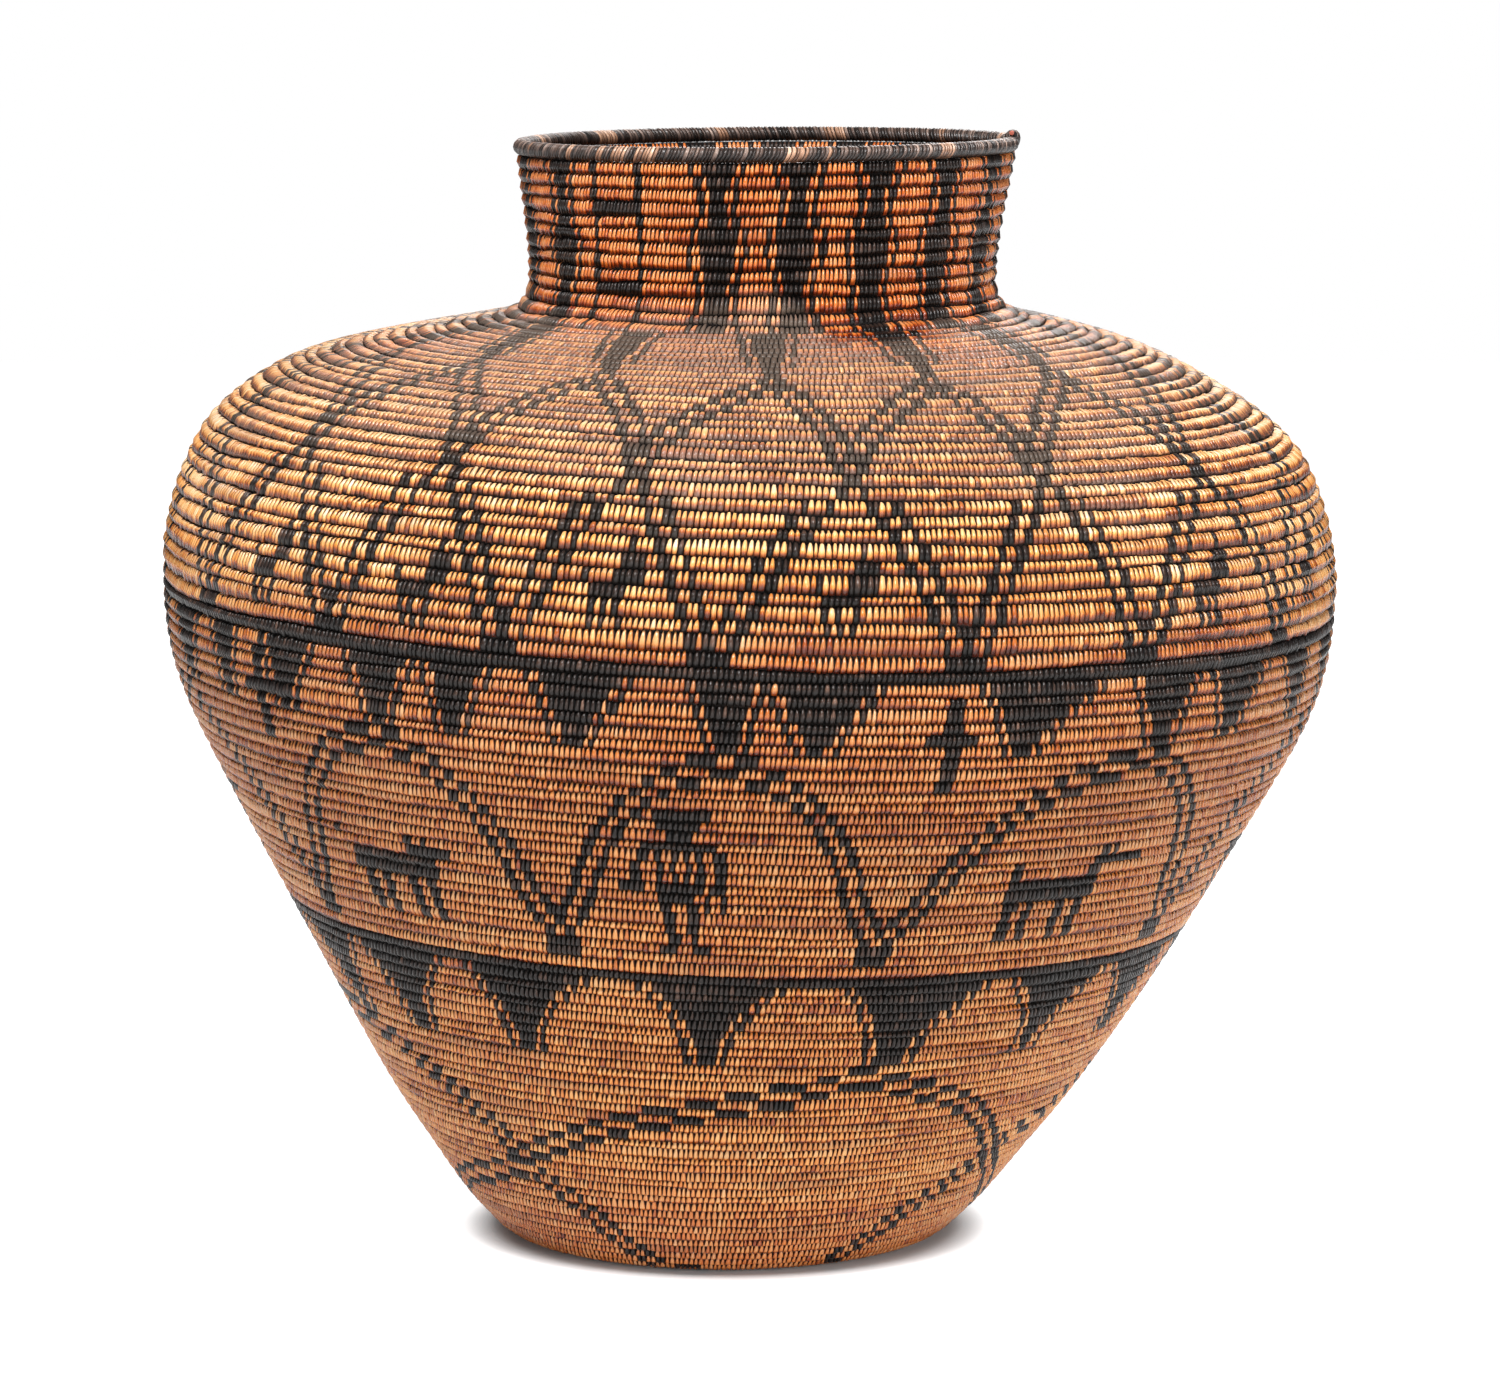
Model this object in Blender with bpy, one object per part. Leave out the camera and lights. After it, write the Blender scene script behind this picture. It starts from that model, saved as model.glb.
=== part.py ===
# Coiled storage olla: a pictorial basket of willow and devil's claw.
# One coil of three rods runs from the start knot at the middle of the base to the rim.
# The wall is built from stretches of that coil, each a ribbed ring of whole courses.
# Metres, +Z up. The origin is on the flat underside, at the middle of the base.

import math

import bpy
import bmesh
from mathutils import Vector

# Driving sizes of the body, measured on the outer face of the coil, from the base upwards
base_radius = 0.0880
heel_overhang = 0.0155
heel_rise = 0.0095
belly_radius = 0.2470
wall_rise = 0.2735
shoulder_rise = 0.1080
neck_foot_radius = 0.1080
neck_waist_inset = 0.0094
neck_waist_rise = 0.0190
neck_flare = 0.0060
neck_rise = 0.0477

# Driving sizes of the coil and of the pieces at its two ends
coil_thickness = 0.0055
groove_depth = 0.0016
seat_gap = 0.0003
start_knot_radius = 0.0075
rim_coil_radius = 0.0033
rim_lap_length = 0.0160
rim_lap_rise = 0.0028
rim_rod_radius = 0.0010
rim_rod_length = 0.0030

# Heights of the two solid black courses, and the height of one such course
lower_band_height = 0.1405
upper_band_height = 0.2710
band_course_height = 0.0051

# How the made basket departs from a true turned shape
neck_offset = 0.0175
row_tilt = math.radians(1.98)
tilt_full_height = 0.1350
tilt_fade_depth = 0.0290
mouth_back_dip = math.radians(0.7)
mouth_side_dip = math.radians(0.4)

# Heights and radii that follow from the driving sizes
belly_height = heel_rise + wall_rise
neck_foot_height = belly_height + shoulder_rise
neck_top_height = neck_foot_height + neck_waist_rise + neck_rise
neck_waist_radius = neck_foot_radius - neck_waist_inset

# Counts of courses, from the middle of the base up to the rim coil
base_courses = (8, 9)
lower_courses = (4, 8, 8, 8, 9)
middle_courses = (7, 7, 7, 6)
belly_courses = (5, 5, 5)
shoulder_courses = (6, 6, 6)
neck_courses = (5, 4, 4)

# Facets: steps round the basket, points on each run of a smooth outline, sides of a tube
ring_steps = 40
outline_steps = 12
rim_steps = 36
tube_sides = 8
lap_steps = 4
rod_sides = 6

# Where the outline passes between the edge of the base and the heel: shares of the way out and up
heel_bend_shares = (0.50, 0.25)

# Where it passes between the heel and the belly: shares of the way out and up
lower_wall_shares = ((0.07, 0.04), (0.17, 0.11), (0.318, 0.221), (0.578, 0.451),
                     (0.825, 0.686), (0.938, 0.806), (0.987, 0.900))

# Where it passes between the belly and the foot of the neck: shares of the way in and up
shoulder_shares = ((0.004, 0.09), (0.035, 0.275), (0.10, 0.475), (0.18, 0.60), (0.30, 0.715),
                   (0.46, 0.815), (0.65, 0.895), (0.85, 0.955))

# The narrow bend above the foot of the neck, and the flare above its waist
neck_bend_shares = (0.86, 0.36)
neck_flare_shares = (0.33, 0.43)

# Direction of the lap of the rim coil, seen from above, measured from the right-hand side
rim_lap_angle = math.radians(-3)


def clear_scene():
    """Take every object out, so that a second run starts from nothing."""
    for old in list(bpy.data.objects):
        bpy.data.objects.remove(old, do_unlink=True)


def make_material(name, colour, roughness):
    """A plain Principled finish for one piece."""
    material = bpy.data.materials.new(name)
    material.use_nodes = True
    shader = material.node_tree.nodes["Principled BSDF"]
    shader.inputs["Base Color"].default_value = (*colour, 1)
    shader.inputs["Roughness"].default_value = roughness
    shader.inputs["Metallic"].default_value = 0
    return material


def between(start, stop, across, up):
    """A point that lies the given shares of the way across and up from start to stop."""
    return Vector((start.x + (stop.x - start.x) * across, start.y + (stop.y - start.y) * up))


def outline_corners():
    """Points on the outer face: x is the radius and y is the height."""
    edge = Vector((base_radius, 0))
    heel = Vector((base_radius + heel_overhang, heel_rise))
    belly = Vector((belly_radius, belly_height))
    foot = Vector((neck_foot_radius, neck_foot_height))
    waist = Vector((neck_waist_radius, neck_foot_height + neck_waist_rise))
    top = Vector((neck_waist_radius + neck_flare, neck_top_height))
    points = [edge, between(edge, heel, *heel_bend_shares), heel]
    points += [between(heel, belly, across, up) for across, up in lower_wall_shares]
    points += [belly]
    points += [between(belly, foot, across, up) for across, up in shoulder_shares]
    points += [foot, between(foot, waist, *neck_bend_shares), waist]
    points += [between(waist, top, *neck_flare_shares), top]
    return points


def smooth_line(points):
    """A Catmull-Rom curve through the points, which leaves the base level."""
    first = 2 * points[0] - Vector((points[1].x, points[0].y))
    last = 2 * points[-1] - points[-2]
    padded = [first] + points + [last]
    line = []
    for before, start, stop, after in zip(padded, padded[1:], padded[2:], padded[3:]):
        for step in range(outline_steps):
            t = step / outline_steps
            bend = (2 * before - 5 * start + 4 * stop - after) * t * t
            twist = (3 * start - before - 3 * stop + after) * t * t * t
            line.append((2 * start + (stop - before) * t + bend + twist) / 2)
    return line + [points[-1]]


def measured(line):
    """Pair each point of a line with its distance along the line from the axis."""
    distance = line[0].x
    marks = [(distance, line[0])]
    for start, stop in zip(line, line[1:]):
        distance += (stop - start).length
        marks.append((distance, stop))
    return marks


def spot(marks, distance):
    """The point at a distance along the outer face, and the direction into the wall."""
    if distance <= marks[0][0] + seat_gap:
        return Vector((distance, 0)), Vector((0, 1))
    for (near, start), (far, stop) in zip(marks, marks[1:]):
        if distance <= far:
            break
    way = (stop - start).normalized()
    return start + way * (distance - near), Vector((-way.y, way.x))


def distance_at_height(marks, height):
    """How far along the outer face the wall first reaches a height."""
    for (near, start), (far, stop) in zip(marks, marks[1:]):
        if stop.y >= height:
            return near + (far - near) * (height - start.y) / (stop.y - start.y)
    return marks[-1][0]


def smooth_step(value, start, stop):
    """Rise softly from 0 at start to 1 at stop."""
    share = min(max((value - start) / (stop - start), 0), 1)
    return share * share * (3 - 2 * share)


def lean(mesh):
    """Give a turned mesh the sideways lean, sloping courses and dipping mouth of the made basket."""
    for vert in mesh.verts:
        height = vert.co.z
        rise = smooth_step(height, 0, tilt_full_height)
        fade = 1 - smooth_step(height, neck_foot_height - tilt_fade_depth, neck_foot_height)
        dip = smooth_step(height, neck_foot_height, neck_top_height)
        vert.co.z -= vert.co.x * math.tan(row_tilt) * rise * fade
        vert.co.z -= (vert.co.y + neck_waist_radius) * math.tan(mouth_back_dip) * dip
        vert.co.z += vert.co.x * math.tan(mouth_side_dip) * dip
        vert.co.x += neck_offset * height / neck_top_height


def add_piece(name, mesh, colour, roughness=0.62):
    """Turn a finished bmesh into a named object with its own material."""
    bmesh.ops.recalc_face_normals(mesh, faces=mesh.faces)
    data = bpy.data.meshes.new(name)
    mesh.to_mesh(data)
    mesh.free()
    data.shade_smooth()
    data.set_sharp_from_angle(angle=math.radians(50))
    data.materials.append(make_material(name, colour, roughness))
    piece = bpy.data.objects.new(name, data)
    bpy.context.scene.collection.objects.link(piece)
    return piece


def turned(section):
    """Spin a closed section, given as radius and height, once round the upright axis."""
    mesh = bmesh.new()
    verts = [mesh.verts.new((point.x, 0, point.y)) for point in section]
    edges = [mesh.edges.new(pair) for pair in zip(verts, verts[1:] + verts[:1])]
    bmesh.ops.spin(mesh, geom=verts + edges, axis=(0, 0, 1), cent=(0, 0, 0),
                   steps=ring_steps, angle=math.tau, use_merge=True)
    return mesh


def coil_section(marks, start, stop, courses, inner_steps):
    """Cross-section of a stretch of coil: ribs on the outer face, a plain inner face."""
    low = start + seat_gap / 2
    high = stop - seat_gap / 2
    pitch = (high - low) / courses
    outer = []
    for half in range(2 * courses + 1):
        point, inward = spot(marks, low + pitch * half / 2)
        outer.append(point + inward * groove_depth * (1 - half % 2))
    inner = []
    for step in range(inner_steps + 1):
        point, inward = spot(marks, high + (low - high) * step / inner_steps)
        inner.append(point + inward * coil_thickness)
    return outer + inner


def flat_section(marks, start, stop):
    """Cross-section of a stretch of the level base, flat below so that the basket stands."""
    corners = []
    for distance in (start + seat_gap / 2, stop - seat_gap / 2):
        point, inward = spot(marks, distance)
        corners += [point, point + inward * coil_thickness]
    return [corners[0], corners[2], corners[3], corners[1]]


def add_zone(marks, name, start, stop, groups, colour, inner_steps):
    """Add the stretches of one zone, which share its length in step with their courses."""
    pitch = (stop - start) / sum(groups)
    reached = start
    for number, courses in enumerate(groups, 1):
        mesh = turned(coil_section(marks, reached, reached + pitch * courses, courses, inner_steps))
        lean(mesh)
        add_piece(name if len(groups) == 1 else f"{name}_{number}", mesh, colour)
        reached += pitch * courses


def add_base(marks, colour):
    """Add the start knot and the level base coils round it."""
    knot = bmesh.new()
    bmesh.ops.create_cone(knot, cap_ends=True, segments=ring_steps // 2,
                          radius1=start_knot_radius, radius2=start_knot_radius,
                          depth=coil_thickness)
    bmesh.ops.translate(knot, verts=knot.verts, vec=(0, 0, coil_thickness / 2))
    lean(knot)
    add_piece("start_knot", knot, colour)
    edge = start_knot_radius + seat_gap / 2
    pitch = (base_radius - edge) / sum(base_courses)
    for number, courses in enumerate(base_courses, 1):
        mesh = turned(flat_section(marks, edge, edge + pitch * courses))
        lean(mesh)
        add_piece(f"base_coil_{number}", mesh, colour)
        edge += pitch * courses


def rim_seat(marks):
    """Radius and height of the middle line of the rim coil, seated square on the neck."""
    point, inward = spot(marks, marks[-1][0])
    way = Vector((inward.y, -inward.x))
    return point + inward * coil_thickness / 2 + way * (seat_gap + rim_coil_radius)


def round_rim(seat, angle, rise=0):
    """A point at an angle round the middle line of the rim coil, lifted by a rise."""
    return Vector((seat.x * math.cos(angle), seat.x * math.sin(angle), seat.y + rise))


def add_tube(name, places, ways, radius, sides, colour):
    """Add a tube with capped ends, whose round sections face along the given ways."""
    mesh = bmesh.new()
    loops = []
    for place, way in zip(places, ways):
        facing = way.to_track_quat("Z", "Y").to_matrix().to_4x4()
        facing.translation = place
        loops.append(bmesh.ops.create_circle(mesh, segments=sides, radius=radius, matrix=facing)["verts"])
    for near, far in zip(loops, loops[1:]):
        ends = set(near + far)
        edges = [edge for edge in mesh.edges if ends.issuperset(edge.verts)]
        bmesh.ops.bridge_loops(mesh, edges=edges)
    mesh.faces.new(loops[0])
    mesh.faces.new(loops[-1])
    lean(mesh)
    add_piece(name, mesh, colour, 0.5)


def add_rim_run(name, seat, start, stop, steps, rise, colour):
    """Add a run of the rim coil from one angle to another, which starts raised and comes down."""
    angles = [start + (stop - start) * step / steps for step in range(steps + 1)]
    lifts = [rise * math.cos(math.pi / 2 * step / steps) for step in range(steps + 1)]
    places = [round_rim(seat, angle, lift) for angle, lift in zip(angles, lifts)]
    ways = [Vector((-math.sin(angle), math.cos(angle), 0)) for angle in angles]
    add_tube(name, places, ways, rim_coil_radius, tube_sides, colour)


def add_rim(marks, colour, rod_colour):
    """Add the thick rim coil, its raised end that laps over its start, and the rod tip there."""
    seat = rim_seat(marks)
    half_lap = rim_lap_length / seat.x / 2
    start = rim_lap_angle + half_lap
    add_rim_run("rim_coil", seat, start, start + math.tau - 2 * half_lap, rim_steps, 0, colour)
    half_lap -= seat_gap / seat.x
    add_rim_run("rim_coil_end", seat, rim_lap_angle - half_lap, rim_lap_angle + half_lap,
                lap_steps, rim_lap_rise, colour)
    end_angle = rim_lap_angle - half_lap
    forward = Vector((math.sin(end_angle), -math.cos(end_angle), 0))
    root = round_rim(seat, end_angle, rim_coil_radius + rim_rod_radius + seat_gap) + forward * seat_gap
    add_tube("rim_rod_end", [root, root + forward * rim_rod_length], [forward, forward],
             rim_rod_radius, rod_sides, rod_colour)


def add_wall(marks, willow, claw):
    """Add every stretch of the wall, from the heel to the top of the neck."""
    half_band = band_course_height / 2
    lower_band = distance_at_height(marks, lower_band_height)
    upper_band = distance_at_height(marks, upper_band_height)
    foot = distance_at_height(marks, neck_foot_height)
    above = upper_band + half_band
    belly_end = above + (foot - above) * sum(belly_courses) / sum(belly_courses + shoulder_courses)
    top = marks[-1][0]
    zones = (
        ("lower_wall_coil", base_radius, lower_band - half_band, lower_courses, willow, 1),
        ("lower_black_course", lower_band - half_band, lower_band + half_band, (1,), claw, 1),
        ("middle_wall_coil", lower_band + half_band, upper_band - half_band, middle_courses, willow, 1),
        ("upper_black_course", upper_band - half_band, above, (1,), claw, 1),
        ("belly_coil", above, belly_end, belly_courses, willow, 2),
        ("shoulder_coil", belly_end, foot, shoulder_courses, willow, 2),
        ("neck_coil", foot, top, neck_courses, willow, 2),
    )
    for zone in zones:
        add_zone(marks, *zone)


def main():
    """Build the whole basket."""
    clear_scene()
    willow = (0.52, 0.25, 0.075)
    claw = (0.018, 0.015, 0.013)
    bare_rod = (0.33, 0.10, 0.05)
    marks = measured(smooth_line(outline_corners()))
    add_base(marks, willow)
    add_wall(marks, willow, claw)
    add_rim(marks, claw, bare_rod)
    triangles = sum(len(face.vertices) - 2 for piece in bpy.data.objects
                    for face in piece.data.polygons)
    print("pieces", len(bpy.data.objects), "triangles", triangles)


main()
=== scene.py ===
# %% [markdown]
# # A pictorial storage basket, stitch by stitch
#
# The real object is one long coil. Three thin willow rods run side by side in a spiral, and flat
# splints are sewn round them, each stitch catching the course below. Pale stitches are split
# willow. Black ones are devil's claw, and together they draw the pattern.
#
# The CAD model gives the shape as rings of whole courses. Here each ring is replaced by a mesh in
# which every stitch is modelled, in the same place and at the same size.

import math

import bmesh
import bpy
import numpy as np
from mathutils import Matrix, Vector


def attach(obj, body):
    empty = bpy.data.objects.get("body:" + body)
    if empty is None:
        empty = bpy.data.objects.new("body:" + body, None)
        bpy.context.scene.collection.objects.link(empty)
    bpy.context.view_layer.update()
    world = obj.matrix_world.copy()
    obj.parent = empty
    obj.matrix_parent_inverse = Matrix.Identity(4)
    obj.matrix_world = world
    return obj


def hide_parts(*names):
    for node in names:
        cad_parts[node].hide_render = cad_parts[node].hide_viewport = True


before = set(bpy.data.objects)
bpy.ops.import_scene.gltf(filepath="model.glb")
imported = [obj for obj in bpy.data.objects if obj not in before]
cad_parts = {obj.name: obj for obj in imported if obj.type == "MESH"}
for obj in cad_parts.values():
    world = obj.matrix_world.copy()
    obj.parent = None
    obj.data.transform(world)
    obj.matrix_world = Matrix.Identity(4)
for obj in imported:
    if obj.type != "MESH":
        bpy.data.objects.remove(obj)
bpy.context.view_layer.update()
millimetre = 0.001
print("CAD nodes:", len(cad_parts))


# %% Two helpers for any object
def new_object(name, data):
    """Put an object in the scene, at the origin."""
    made = bpy.data.objects.new(name, data)
    bpy.context.scene.collection.objects.link(made)
    return made


def new_mesh(name, shape):
    """Turn a finished bmesh into a mesh."""
    mesh = bpy.data.meshes.new(name)
    shape.to_mesh(mesh)
    shape.free()
    return mesh


# %% [markdown]
# ## The camera
#
# The photograph was taken with a long lens from a little above the belly. The place of the lens was
# worked out from the outline of the basket, the ellipse of its mouth and the slope of its courses.

# %% Camera
camera_place = Vector((0.0107, -2.5, 0.5991))
camera_target = Vector((0.0107, 0, 0.2286))
lens = bpy.data.cameras.new("camera")
lens.lens = 143.3
lens.sensor_width = 36
lens.clip_end = 20
camera = new_object("camera", lens)
camera.location = camera_place
camera.rotation_euler = (camera_target - camera_place).to_track_quat("-Z", "Y").to_euler()
bpy.context.scene.camera = camera
tilt = math.degrees(math.pi / 2 - camera.rotation_euler.x)
print("camera looks down by", round(tilt, 1), "degrees")

# %% [markdown]
# ## The outline of the basket
#
# A coiled basket is round, so one line seen from the side gives its whole form. These are the same
# sizes as the CAD model's, in metres. The line is smoothed through its corners and measured along
# its length, because a basket maker works along the wall, course by course.

# %% Sizes of the outline
base_radius, heel_overhang, heel_rise = 0.0880, 0.0155, 0.0095
belly_radius, wall_rise, shoulder_rise = 0.2470, 0.2735, 0.1080
neck_foot_radius, neck_waist_inset, neck_waist_rise = 0.1080, 0.0094, 0.0190
neck_flare, neck_rise = 0.0060, 0.0477
belly_height = heel_rise + wall_rise
neck_foot_height = belly_height + shoulder_rise
neck_top_height = neck_foot_height + neck_waist_rise + neck_rise
neck_waist_radius = neck_foot_radius - neck_waist_inset
lower_wall_shares = ((0.07, 0.04), (0.17, 0.11), (0.318, 0.221), (0.578, 0.451),
                     (0.825, 0.686), (0.938, 0.806), (0.987, 0.900))
shoulder_shares = ((0.004, 0.09), (0.035, 0.275), (0.10, 0.475), (0.18, 0.60), (0.30, 0.715),
                   (0.46, 0.815), (0.65, 0.895), (0.85, 0.955))
print("belly", belly_radius * 2, "m across, neck up to", round(neck_top_height, 4), "m")


# %% The smooth outline, as radius and height
def between(start, stop, across, up):
    """A point that lies the given shares of the way across and up from start to stop."""
    return Vector((start.x + (stop.x - start.x) * across, start.y + (stop.y - start.y) * up))


def smooth(points, first, last, steps):
    """A Catmull-Rom curve through the points, which comes in from first and leaves for last."""
    padded = [first] + points + [last]
    line = []
    for before, start, stop, after in zip(padded, padded[1:], padded[2:], padded[3:]):
        for step in range(steps):
            t = step / steps
            bend = (2 * before - 5 * start + 4 * stop - after) * t * t
            twist = (3 * start - before - 3 * stop + after) * t * t * t
            line.append((2 * start + (stop - before) * t + bend + twist) / 2)
    return line + [points[-1]]


edge = Vector((base_radius, 0))
heel = Vector((base_radius + heel_overhang, heel_rise))
belly = Vector((belly_radius, belly_height))
foot = Vector((neck_foot_radius, neck_foot_height))
waist = Vector((neck_waist_radius, neck_foot_height + neck_waist_rise))
top = Vector((neck_waist_radius + neck_flare, neck_top_height))
corners = [edge, between(edge, heel, 0.50, 0.25), heel]
corners += [between(heel, belly, *shares) for shares in lower_wall_shares] + [belly]
corners += [between(belly, foot, *shares) for shares in shoulder_shares]
corners += [foot, between(foot, waist, 0.86, 0.36), waist, between(waist, top, 0.33, 0.43), top]
level_start = 2 * edge - Vector((corners[1].x, 0))
line = [Vector((0, 0)), Vector((base_radius * 0.99, 0))]
line += smooth(corners, level_start, 2 * corners[-1] - corners[-2], 12)
outline = np.array(line)
outline_length = np.concatenate([[0], np.cumsum(np.hypot(*np.diff(outline, axis=0).T))])
print("wall, from the middle of the base to the rim:", round(outline_length[-1] * 1000), "mm")

# %% [markdown]
# ## From the outline to the leaning basket
#
# Three small functions take a stitch to its place. The first goes along the outline and into the
# wall. The second turns that round the upright axis. The third gives the lean of this one basket:
# its neck sits off centre, and its courses slope a little, as hand work does.

# %% Places on the wall
coil_thickness, seat_gap = 0.0055, 0.0003
neck_offset, row_slope = 0.0175, math.tan(math.radians(1.98))
back_dip, side_dip = math.tan(math.radians(0.7)), math.tan(math.radians(0.4))
full_slope_height, slope_fade = 0.1350, 0.0290
dent_size = 0.0003


def soft_step(value, start, stop):
    """Rise softly from 0 at start to 1 at stop."""
    share = np.clip((value - start) / (stop - start), 0, 1)
    return share * share * (3 - 2 * share)


def on_outline(distance, depth):
    """Radius and height at a distance along the outline, and a depth into the wall."""
    step = 0.0004
    here, back, ahead = (np.stack([np.interp(d, outline_length, outline[:, k]) for k in (0, 1)])
                         for d in (distance, distance - step, distance + step))
    way = (ahead - back) / np.maximum(np.hypot(*(ahead - back)), 1e-9)
    return here[0] - way[1] * depth, here[1] + way[0] * depth


def leaning(places):
    """Give turned places the lean, the sloping courses and the dipping mouth of the basket."""
    x, y, z = places.T
    slope = soft_step(z, 0, full_slope_height)
    slope = slope * (1 - soft_step(z, neck_foot_height - slope_fade, neck_foot_height))
    dip = soft_step(z, neck_foot_height, neck_top_height)
    drop = x * row_slope * slope + (y + neck_waist_radius) * back_dip * dip - x * side_dip * dip
    return np.stack([x + neck_offset * z / neck_top_height, y, z - drop], 1)


def dents(angle, height):
    """The slow unevenness of a hand-made wall, up to half a millimetre in or out."""
    size = dent_size * soft_step(height, 0.010, 0.060) * (1 - soft_step(height, 0.42, 0.45))
    return size * (np.sin(3 * angle + 21 * height) + 0.6 * np.sin(7 * angle - 47 * height + 1)
                   - 0.8)


def turned(angle, radius, height):
    """Places at an angle round the axis, counted from the right-hand side, then leaned."""
    radius = radius + dents(angle, height)
    return leaning(np.stack([radius * np.cos(angle), radius * np.sin(angle), height], 1))


def distance_at(height):
    """How far along the outline the wall first reaches a height."""
    wall = outline[:, 1] >= height
    k = int(np.argmax(wall))
    share = (height - outline[k - 1, 1]) / (outline[k, 1] - outline[k - 1, 1])
    return outline_length[k - 1] + share * (outline_length[k] - outline_length[k - 1])


print("the neck leans", round(neck_offset / millimetre, 1), "mm to the right")

# %% [markdown]
# ## The courses
#
# Each CAD node is a stretch of whole courses. The list below says where every stretch starts and
# stops along the outline, how many courses it has, and how far apart its stitches are. A maker
# sews more finely on the neck than on the belly.

# %% Stretches of the coil
band_height, lower_band_height, upper_band_height = 0.0051, 0.1405, 0.2710
half_band = band_height / 2
lower_band, upper_band = distance_at(lower_band_height), distance_at(upper_band_height)
foot_distance, top_distance = distance_at(neck_foot_height), outline_length[-1]
belly_end = upper_band + half_band + (foot_distance - upper_band - half_band) * 15 / 33
knot_radius = 0.0075
zones = [
    ("base_coil", knot_radius + seat_gap / 2, base_radius, (8, 9), 0.0023),
    ("lower_wall_coil", base_radius, lower_band - half_band, (4, 8, 8, 8, 9), 0.0021),
    ("lower_black_course", lower_band - half_band, lower_band + half_band, (1,), 0.0021),
    ("middle_wall_coil", lower_band + half_band, upper_band - half_band, (7, 7, 7, 6), 0.0022),
    ("upper_black_course", upper_band - half_band, upper_band + half_band, (1,), 0.0023),
    ("belly_coil", upper_band + half_band, belly_end, (5, 5, 5), 0.0024),
    ("shoulder_coil", belly_end, foot_distance, (6, 6, 6), 0.0023),
    ("neck_coil", foot_distance, top_distance, (5, 4, 4), 0.0019),
]
stretches = []
course = -17
for zone, start, stop, groups, spacing in zones:
    pitch = (stop - start) / sum(groups)
    for number, courses in enumerate(groups, 1):
        name = zone if len(groups) == 1 else f"{zone}_{number}"
        stretches.append((name, start, start + pitch * courses, courses, course, spacing))
        start += pitch * courses
        course += courses
print(len(stretches), "stretches,", course, "courses above the base")

# %% [markdown]
# ## The chart of the pattern
#
# A pattern on a basket is a chart: for every stitch, willow or devil's claw. Angles are in degrees
# round the basket from the front, to the right, and heights are in courses above the base. The
# black courses are numbers 38 and 66. Most lines are double: two black stitches, two pale, two
# black. Each motif below is drawn on the chart as the maker would count it.

# %% Tools for drawing on the chart
# The numbers of the black courses, then millimetres on the wall: the height of a course, a stitch
# and a pair of stitches across, and how far a double line reaches. A slanting line steps sideways,
# so it is drawn closer and thinner.
lower_black, upper_black = 38, 66
course_height = 5.0
stitch_wide, pair_wide = 2.5, 5.0
line_reach, line_half = 4.8, 2.35
slant_closer, slant_thinner = 1.2, 0.8


def off(angle, centre):
    """How many degrees to the right of a centre, the short way round."""
    return (angle - centre + 180) % 360 - 180


def distance_to_path(angle, level, radius, path, centre=0):
    """Millimetres from each stitch to a path of (degrees, course) points, and its slant there."""
    points = [Vector(point) for point in path]
    curve = np.array(smooth(points, 2 * points[0] - points[1], 2 * points[-1] - points[-2], 5))
    scale = radius * math.pi / 180
    x = off(angle, centre + curve[:, 0].mean()) * scale
    y = level * course_height
    least = np.full(angle.shape, 1e9)
    diagonal = np.zeros(angle.shape)
    for (x0, y0), (x1, y1) in zip(curve, curve[1:]):
        x0, x1 = (x0 - curve[:, 0].mean()) * scale, (x1 - curve[:, 0].mean()) * scale
        y0, y1 = y0 * course_height, y1 * course_height
        run = (x1 - x0) ** 2 + (y1 - y0) ** 2
        share = np.clip(((x - x0) * (x1 - x0) + (y - y0) * (y1 - y0)) / run, 0, 1)
        gap = np.hypot(x - x0 - share * (x1 - x0), y - y0 - share * (y1 - y0))
        diagonal = np.where(gap < least, 2 * np.abs((x1 - x0) * (y1 - y0)) / run, diagonal)
        least = np.minimum(least, gap)
    return least, diagonal


def double_line(angle, level, radius, path, centre=0):
    """Two black lines on each side of a pale one, two stitches or one course thick."""
    gap, diagonal = distance_to_path(angle, level, radius, path, centre)
    return np.abs(gap - line_reach + slant_closer * diagonal) < line_half - slant_thinner * diagonal


def block(angle, level, left, right, low, high, centre=0):
    """Stitches between two angles, on the courses from low to high."""
    x = off(angle, centre)
    return (x >= left) & (x <= right) & (level >= low - 1) & (level <= high)


def stamp(angle, level, centres, parts):
    """The same blocks at several places round the basket."""
    dark = np.zeros(angle.shape, bool)
    for centre in centres:
        for part in parts:
            dark |= block(angle, level, *part, centre)
    return dark


print("a double line on the chart is", round(2 * (line_reach + line_half), 1), "mm wide")


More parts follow.
